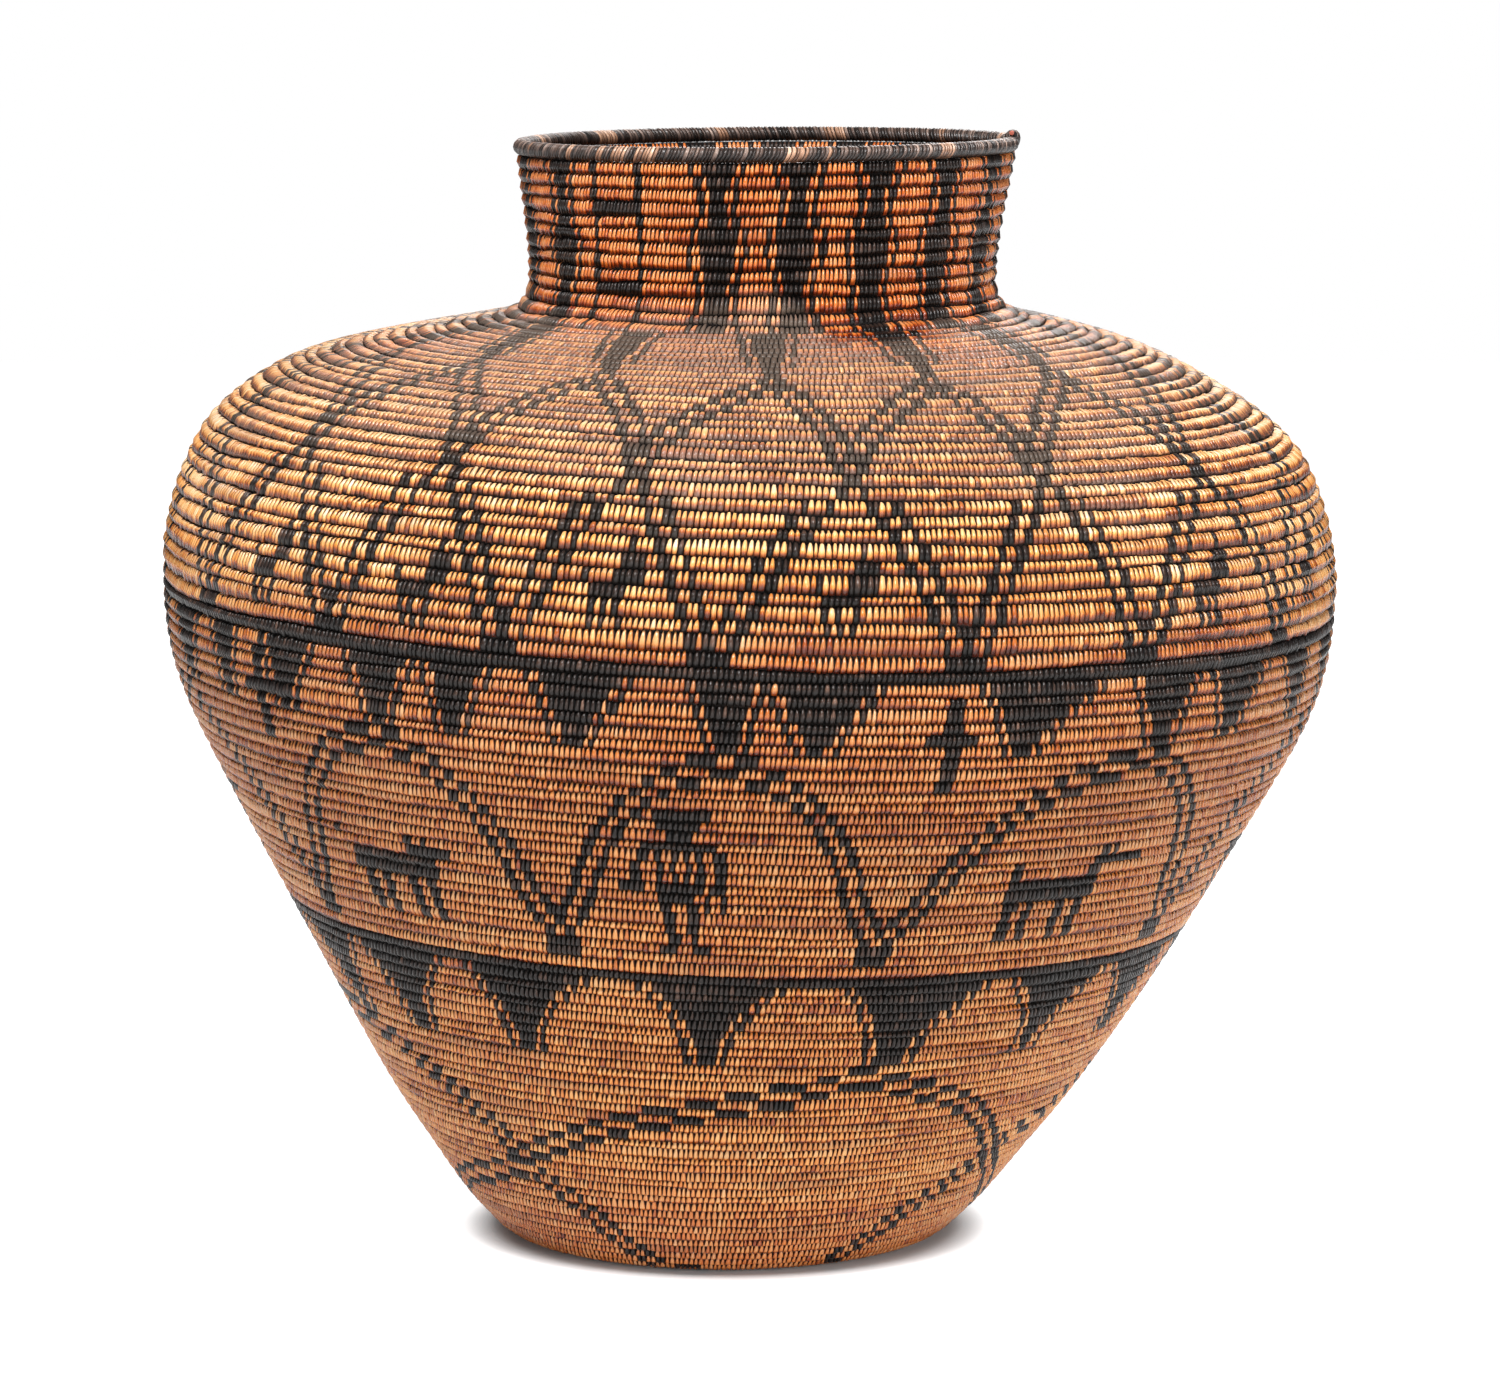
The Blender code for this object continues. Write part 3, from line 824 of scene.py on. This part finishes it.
# %% The sewn splint finish
def splint_material(name, palette, ages, crack_side_shade, roughness, age_share, shine, rust_share,
                    dust_share):
    """A finish for sewn splints, which follows the map that counts stitches and courses."""
    material, tree = new_material(name)
    stitches = add_node(tree, "UVMap", uv_map="stitches")
    parts = add_node(tree, "SeparateXYZ", {0: stitches})
    u, v = (add_node(tree, "Math", {0: part}, operation="FRACT") for part in parts.outputs[:2])

    # A splint is widest, 0.91 of a stitch, a third of the way up its course, and painted dark at
    # its edges, as shade in the cracks between stitches
    from_middle = add_node(tree, "Math", {0: u, 1: 0.5}, operation="SUBTRACT")
    side = add_node(tree, "Math", {0: from_middle}, operation="ABSOLUTE")
    above = add_node(tree, "Math", {0: v, 1: 0.30}, operation="SUBTRACT")
    squared = add_node(tree, "Math", {0: above, 1: above}, operation="MULTIPLY")
    width = add_node(tree, "Math", {0: squared, 1: -0.60, 2: 0.455}, operation="MULTIPLY_ADD")
    past_edge = add_node(tree, "Math", {0: side, 1: width}, operation="SUBTRACT")
    crack = add_node(tree, "MapRange", {0: past_edge, 1: -0.10, 2: 0.06, 3: 0.0, 4: 1.0},
                     interpolation_type="SMOOTHSTEP")

    # Its foot and its tip go down into the grooves, and are given painted shade there
    foot = add_node(tree, "MapRange", {0: v, 1: 0.02, 2: 0.20, 3: 1.0, 4: 0.0},
                    interpolation_type="SMOOTHSTEP")
    tip = add_node(tree, "MapRange", {0: v, 1: 0.93, 2: 1.0, 3: 0.0, 4: 1.0},
                   interpolation_type="SMOOTHSTEP")
    ends = add_node(tree, "Math", {0: foot, 1: tip}, operation="MAXIMUM")
    gap = add_node(tree, "Math", {0: ends, 1: crack}, operation="MAXIMUM")

    # Splint fibres are about 0.3 mm apart, so eight cross a stitch of 2.4 mm, and run its length
    fibre_place = add_node(tree, "VectorMath", {0: stitches, 1: (8.0, 0.9, 1.0)},
                           operation="MULTIPLY")
    fibre = add_node(tree, "TexNoise", {"Vector": fibre_place, "Scale": 1.0, "Detail": 2.0},
                     noise_dimensions="2D")
    tone = add_node(tree, "Attribute", attribute_name="tone")
    mixed = add_node(tree, "Math", {0: fibre, 1: 0.5}, operation="SUBTRACT")
    fine = add_node(tree, "Math", {0: mixed, 1: 0.45, 2: tone.outputs["Fac"]},
                    operation="MULTIPLY_ADD")

    # Painted light and shade: the upper part of a splint is painted paler, and its lower part
    # browner, as if in the shade of the bulge above, with the light from above
    painted_light = add_node(tree, "MapRange", {0: v, 1: 0.10, 2: 0.66, 3: -0.54, 4: 0.12},
                   interpolation_type="SMOOTHSTEP")
    shade = add_node(tree, "Math", {0: fine, 1: painted_light}, operation="ADD")
    clean = add_node(tree, "ValToRGB", {0: shade})
    colour_steps(clean, palette)

    # Age and dust change over the height of the basket and in patches a few centimetres wide
    where = add_node(tree, "TexCoord")
    height = add_node(tree, "SeparateXYZ", {0: where.outputs["Object"]})
    patches = add_node(tree, "TexNoise", {"Vector": where.outputs["Object"], "Scale": 14.0,
                                          "Detail": 3.0})
    moved = add_node(tree, "Math", {0: patches, 1: 0.09, 2: height.outputs[2]},
                     operation="MULTIPLY_ADD")
    up_the_wall = add_node(tree, "MapRange", {0: moved, 1: age_low, 2: age_high})
    aged = add_node(tree, "ValToRGB", {0: up_the_wall})
    colour_steps(aged, ages)
    blend = add_node(tree, "Mix", {0: age_share, 6: clean.outputs[0], 7: aged.outputs[0]},
                     data_type="RGBA", blend_type="MULTIPLY")

    # Reddish stretches follow one course for 50 mm or so, as one splint does
    course = add_node(tree, "Math", {0: parts.outputs[1]}, operation="FLOOR")
    along_x, along_y = (add_node(tree, "Math", {0: way, 1: streak_rate}, operation="MULTIPLY")
                        for way in height.outputs[:2])
    streak_place = add_node(tree, "CombineXYZ", {0: along_x, 1: along_y, 2: course})
    streaks = add_node(tree, "TexNoise", {"Vector": streak_place, "Scale": 0.75, "Detail": 2.0})
    rust = add_node(tree, "MapRange", {0: streaks, 1: 0.50, 2: 0.70, 3: 0.0, 4: rust_share})
    rusty = add_node(tree, "Mix", {0: rust, 6: blend.outputs[2], 7: colour(rust_colour)},
                     data_type="RGBA")
    settled = add_node(tree, "ValToRGB", {0: up_the_wall})
    colour_steps(settled, dust_by_height)
    dust = add_node(tree, "Math", {0: settled, 1: dust_share}, operation="MULTIPLY")
    dusty = add_node(tree, "Mix", {0: dust, 6: rusty.outputs[2], 7: colour(dust_colour)},
                     data_type="RGBA")

    # Painted shade is laid on last: at the edges, for the cracks, and at the ends, for the grooves.
    # The relief is rounded across the splint, with its fibres
    # The painted crack shade goes from none inside the splint, through the side shade, to near
    # black
    edges = add_node(tree, "ValToRGB", {0: crack})
    colour_steps(edges, ((0.0, "#ffffff"), (0.45, crack_side_shade), (1.0, crack_shade_colour)))
    crack_shaded = add_node(tree, "Mix", {0: 1.0, 6: dusty.outputs[2], 7: edges.outputs[0]},
                     data_type="RGBA", blend_type="MULTIPLY")
    groove_shaded = add_node(tree, "Mix", {0: ends, 6: crack_shaded.outputs[2], 7: colour(groove_shade_colour)},
                     data_type="RGBA")
    rounded = add_node(tree, "Math", {0: side, 1: side}, operation="MULTIPLY")
    sides_fall = add_node(tree, "Math", {0: rounded, 1: -8.0, 2: fibre}, operation="MULTIPLY_ADD")
    relief = add_node(tree, "Math", {0: gap, 1: -1.0, 2: sides_fall}, operation="MULTIPLY_ADD")
    bump = add_node(tree, "Bump", {"Height": relief, "Distance": relief_depth, "Strength": 0.6})
    gloss = add_node(tree, "MapRange", {0: gap, 3: roughness, 4: groove_roughness})
    shader = add_node(tree, "BsdfPrincipled", {"Base Color": groove_shaded.outputs[2], "Roughness": gloss,
                                               "Normal": bump, "Specular IOR Level": shine})
    add_node(tree, "OutputMaterial", {0: shader})
    return material


# The colour after the two ramps is the painted shade on the flanks of the cracks between stitches
willow = splint_material(
    "split_willow_splint",
    ((0.0, "#4a1a06"), (0.22, "#984c1c"), (0.45, "#d2904a"), (0.70, "#dfb37c"), (1.0, "#e8d2b2")),
    ((0.0, "#daa072"), (0.12, "#ecc690"), (0.45, "#c4945e"), (0.59, "#be9470"), (0.65, "#e2d0b4"),
     (0.72, "#ffffff"), (0.82, "#e8e2d4"), (0.875, "#d8965e"), (1.0, "#da9862")),
    "#b89068", 0.24, 0.85, 0.40, 0.45, 0.8)
claw = splint_material(
    "devils_claw_splint",
    ((0.0, "#0b0807"), (0.40, "#191311"), (0.68, "#2b211d"), (0.86, "#4a372e"), (1.0, "#6b5144")),
    ((0.0, "#9a8a80"), (0.5, "#c9c4c0"), (0.72, "#ffffff"), (0.85, "#ffffff"), (1.0, "#b0a8a4")),
    "#908884", 0.28, 0.5, 0.22, 0.0, 0.45)
# The rim's finishes share a painted shade colour for the flanks of the cracks between wraps
rim_rest = (((0.0, "#ffffff"), (1.0, "#ffffff")), "#a09890", 0.32, 0.0, 0.40, 0.0, 0.0)
worn_willow = splint_material(
    "worn_rim_willow",
    ((0.0, "#4c3529"), (0.30, "#86624c"), (0.60, "#b8937a"), (1.0, "#e2cab8")), *rim_rest)
dusty_claw = splint_material(
    "dusty_rim_splint",
    ((0.0, "#120d0b"), (0.30, "#2e2420"), (0.60, "#625048"), (1.0, "#b49c8e")), *rim_rest)
print("finishes:", willow.name, claw.name, dusty_claw.name)

# %% [markdown]
# ## The wall, the base and the black courses
#
# Every stretch is built by the same function, rides on the one body and stands for its CAD node.

# %% Finish a piece and hide the CAD node it replaces
def finish_piece(name, mesh, materials):
    """Make an object of a mesh, give it its finish, put it on the root body and hide its CAD node.
    """
    mesh.shade_smooth()
    for material in materials:
        mesh.materials.append(material)
    piece = new_object("sewn_" + name, mesh)
    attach(piece, "root")
    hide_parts(name)


# %% Build the stretches
total = 0
for stretch in stretches:
    ring, count = sewn_ring(*stretch)
    finish_piece(stretch[0], ring, (willow, claw))
    total += count
knot_courses, knot_first_course, knot_spacing = 3, -20, 0.0016
knot, count = sewn_ring("start_knot", 0.0, knot_radius - seat_gap / 2, knot_courses,
                        knot_first_course, knot_spacing)
finish_piece("start_knot", knot, (willow, claw))
print("stitches:", total + count)

# %% [markdown]
# ## The rim
#
# The last course is thicker. Its splints lie close together, side by side, and hide the rods all
# the way round. It is nearly all black, with a few pale wraps. At the right the spiral ends on
# top of its own start, and the cut tip of one reddish rod shows there.
#
# The lap is simplified. It is a short tube of its own in an opening of the rim, and rises off the
# course below, so it is open underneath, where the real coil would fill the wedge.

# %% Sizes of a wrapped tube
rim_coil_radius, rim_overhang, rim_rows = 0.0033, 0.0013, 12
wrap_parts = (0, 0.22, 0.78)
wrap_slant, wrap_jitter, wrap_swell, wrap_valley = 0.9, 0.16, 0.09, 0.00045
end_roundness, least_reach = 0.7, 0.0001
rim_first = 300
print("rim coil:", round(2 * rim_coil_radius / millimetre, 1), "mm thick")


# %% A wrapped tube
def wrapped_tube(name, start, stop, lift, spacing, pale):
    """A run of wrapped rim coil between two angles, as a closed tube with round ends."""
    wraps = round((stop - start) * rim_seat[0] / spacing)
    mesh, column, row, faces = flat_sheet(3 * wraps, rim_rows)
    part, wrap = column % 3, column // 3
    round_share = row / rim_rows * math.tau
    slant = wrap_slant * np.cos(round_share - 0.9)
    jitter = stitch_jitter.normal(0, wrap_jitter, wraps + 1)
    along = wrap + jitter[wrap] + np.choose(part, wrap_parts) + slant
    along = np.clip(along, 0, wraps) / wraps
    end = np.minimum(along, 1 - along) * wraps * spacing
    near_end = np.clip(end / rim_coil_radius / end_roundness, 0, 1)
    taper = np.sqrt(np.clip(1 - (1 - near_end) ** 2, 0.0, 1))
    swell = stitch_jitter.normal(0, wrap_swell, wraps + 1)[wrap] * millimetre
    deep = np.where(part == 0, wrap_valley, 0.0) + np.abs(swell)
    reach = np.maximum((rim_coil_radius - deep) * taper, least_reach)
    angle = start + (stop - start) * along
    across = rim_seat[0] + reach * np.cos(round_share)
    up = rim_seat[1] + reach * np.sin(round_share) + lift(along)
    mesh.vertices.foreach_set("co", turned(angle, across, up).ravel())
    corner_column, corner_row = column[faces], row[faces]
    face_wrap = corner_column.min(1) // 3
    corner_part = corner_column - 3 * face_wrap[:, None]
    steps = np.choose(corner_part, [*wrap_parts, 1.0])
    # Up the map goes round the tube, from 0.22 underneath to 0.62 on top, so the finish's painted
    # light and shade make the top of each wrap paler and its underside browner
    round_tube_for_painted_light = 0.42 + 0.2 * np.sin(corner_row / rim_rows * math.tau)
    stitch_map = np.stack([face_wrap[:, None] + steps, round_tube_for_painted_light + rim_first], -1)
    spread = spread_map(corner_column, corner_row, 3 * wraps, rim_rows, 0.0, 1.0, 14)
    degrees = off(np.degrees(start + (stop - start) * (np.arange(wraps) + 0.5) / wraps) + 90, 0)
    dark = ~pale(degrees)
    tone = np.clip(stitch_jitter.normal(0.40, 0.17, wraps), 0, 1)
    write_maps(mesh, stitch_map, spread, dark[face_wrap], tone[face_wrap])
    tube = bmesh.new()
    tube.from_mesh(mesh)
    bmesh.ops.remove_doubles(tube, verts=tube.verts, dist=2e-6)
    bmesh.ops.holes_fill(tube, edges=[e for e in tube.edges if e.is_boundary], sides=0)
    tube.to_mesh(mesh)
    tube.free()
    mesh.name = name
    return mesh


# %% Build the rim and its end
top_r, top_z = on_outline(np.array([top_distance]), 0)
rim_seat = Vector((top_r[0] + rim_overhang - rim_coil_radius,
                   top_z[0] + seat_gap + rim_coil_radius))
lap_angle, lap_length, lap_rise = math.radians(-3), 0.0160, 0.0028
half_lap = lap_length / rim_seat[0] / 2
pale_wraps = ((-69.5, -68), (-51.2, -49.8), (-41.7, -39.6), (-37, -33.2), (-30.5, -25.2),
              (4.1, 8.6), (12.7, 13.5), (41.7, 46.1), (100, 103), (131, 133), (160, 166),
              (-170, -168), (-140, -134), (-110, -108))


def pale_on_rim(degrees):
    """Which wraps of the rim are willow."""
    return np.any([(degrees > low) & (degrees < high) for low, high in pale_wraps], 0)


rim = wrapped_tube("rim_coil", lap_angle + half_lap, lap_angle - half_lap + math.tau,
                   lambda share: 0 * share, 0.0016, pale_on_rim)
finish_piece("rim_coil", rim, (worn_willow, dusty_claw))
rim_end = wrapped_tube("rim_coil_end", lap_angle - half_lap, lap_angle + half_lap,
                       lambda share: lap_rise * np.cos(math.pi / 2 * share), 0.0014,
                       lambda degrees: degrees > 200)
finish_piece("rim_coil_end", rim_end, (worn_willow, dusty_claw))
print("rim and lap faces:", len(rim.polygons), len(rim_end.polygons))

# %% [markdown]
# ## The rod tip
#
# The rod tip is a twig, cut square, with bark on its side. A short cylinder with a bevelled end
# is close enough for a thing two millimetres wide. Its bark is mottled every millimetre or so.

# %% The bark of the rod
bark, bark_tree = new_material("red_rod_bark")
bark_place = add_node(bark_tree, "TexCoord")
bark_noise = add_node(bark_tree, "TexNoise", {"Vector": bark_place.outputs["Object"],
                                              "Scale": 900.0})
bark_ramp = add_node(bark_tree, "ValToRGB", {0: bark_noise})
colour_steps(bark_ramp, ((0.3, "#6e2f22"), (0.7, "#a8543e")))
bark_shader = add_node(bark_tree, "BsdfPrincipled", {"Base Color": bark_ramp, "Roughness": 0.5})
add_node(bark_tree, "OutputMaterial", {0: bark_shader})
print("bark nodes:", len(bark_tree.nodes))

# %% The rod tip
rod_radius, rod_length, cut_bevel = 0.0010, 0.0030, 0.00025
end_angle = lap_angle - half_lap + seat_gap / rim_seat[0]
forward = Vector((math.sin(end_angle), -math.cos(end_angle), 0))
rod = bmesh.new()
bmesh.ops.create_cone(rod, cap_ends=True, segments=12, radius1=rod_radius, radius2=rod_radius,
                      depth=rod_length)
tip_edges = [e for e in rod.edges if all(v.co.z > 0 for v in e.verts)]
bmesh.ops.bevel(rod, geom=tip_edges, offset=cut_bevel, affect="EDGES", segments=2, profile=0.5,
                material=-1)
facing = forward.to_track_quat("Z", "Y").to_matrix().to_4x4()
middle = Vector((rim_seat[0] * math.cos(end_angle), rim_seat[0] * math.sin(end_angle),
                 rim_seat[1] + rim_coil_radius + rod_radius + seat_gap))
facing.translation = middle + forward * (seat_gap + rod_length / 2)
bmesh.ops.transform(rod, matrix=facing, verts=rod.verts)
for vert in rod.verts:
    vert.co = leaning(np.array([vert.co]))[0]
rod_mesh = new_mesh("rim_rod_end", rod)
finish_piece("rim_rod_end", rod_mesh, (bark,))
print("rod tip faces:", len(rod_mesh.polygons))

# %% [markdown]
# ## Floor and light
#
# The ground is pure white and the light soft, from above and in front. The floor is white to the
# camera. Near the basket ambient occlusion dims its glow into a painted contact shadow, and the
# lamps add their own faint shadow. One lamp above does most of the work, one at each side shapes
# the edges, and a weak one lights the back, which other views show. The lamps are wide, so that
# shadows stay soft.

# %% Floor
floor_half, floor_drop = 4, 0.0005
floor_mesh = bmesh.new()
bmesh.ops.create_grid(floor_mesh, x_segments=1, y_segments=1, size=floor_half)
bmesh.ops.translate(floor_mesh, verts=floor_mesh.verts, vec=(0, 0, -floor_drop))
floor = new_object("floor", new_mesh("floor", floor_mesh))
print("floor:", 2 * floor_half, "m wide")

# %% The white of the floor
contact_reach, floor_glow = 0.016, 0.92
white, white_tree = new_material("white_ground")
rays = add_node(white_tree, "LightPath")
seen = add_node(white_tree, "Math", {0: rays.outputs["Is Camera Ray"],
                                     1: rays.outputs["Is Glossy Ray"]}, operation="MAXIMUM")
# Ambient occlusion within contact_reach cuts the white glow: a painted contact shadow by the heel
painted_contact_shadow = add_node(white_tree, "AmbientOcclusion", {"Distance": contact_reach})
glow_share_with_painted_shadow = add_node(white_tree, "MapRange", {0: painted_contact_shadow.outputs["AO"], 1: 0.25, 2: 0.85, 3: 0.0,
                                               4: floor_glow})
share = add_node(white_tree, "Math", {0: seen, 1: glow_share_with_painted_shadow}, operation="MULTIPLY")
matt = add_node(white_tree, "BsdfDiffuse", {0: (0.75, 0.75, 0.75, 1)})
glow = add_node(white_tree, "Emission", {0: (1, 1, 1, 1), 1: share})
ground = add_node(white_tree, "AddShader", {0: matt, 1: glow})
add_node(white_tree, "OutputMaterial", {0: ground})
floor.data.materials.append(white)
print("floor nodes:", len(white_tree.nodes))

# %% World and lamps
room_strength = 0.13
world = bpy.data.worlds.new("white_room")
bpy.context.scene.world = world
world.use_nodes = True
world.node_tree.nodes.clear()
room_rays = add_node(world.node_tree, "LightPath")
room_level = add_node(world.node_tree, "MapRange", {0: room_rays.outputs["Is Camera Ray"],
                                                    3: room_strength, 4: 1.0})
room = add_node(world.node_tree, "Background", {0: (1, 1, 1, 1), 1: room_level})
add_node(world.node_tree, "OutputWorld", {0: room})


def add_lamp(name, place, target, power, size):
    """A square soft lamp that points at a target."""
    lamp = bpy.data.lights.new(name, "AREA")
    lamp.energy = power
    lamp.size = size
    holder = new_object(name, lamp)
    holder.location = place
    holder.rotation_euler = (Vector(target) - Vector(place)).to_track_quat("-Z", "Y").to_euler()


add_lamp("soft_top", (0.0, -1.3, 1.9), (0, 0, 0.25), 78, 0.7)
add_lamp("soft_right", (1.1, -1.9, 0.5), (0, 0, 0.15), 28, 0.9)
add_lamp("soft_back", (0.3, 2.2, 1.2), (0, 0, 0.20), 22, 1.2)
add_lamp("soft_left", (-1.5, -1.7, 0.25), (0, 0, 0.08), 17, 0.9)
bpy.context.scene.view_settings.view_transform = "Standard"
print("lamps:", len(bpy.data.lights))
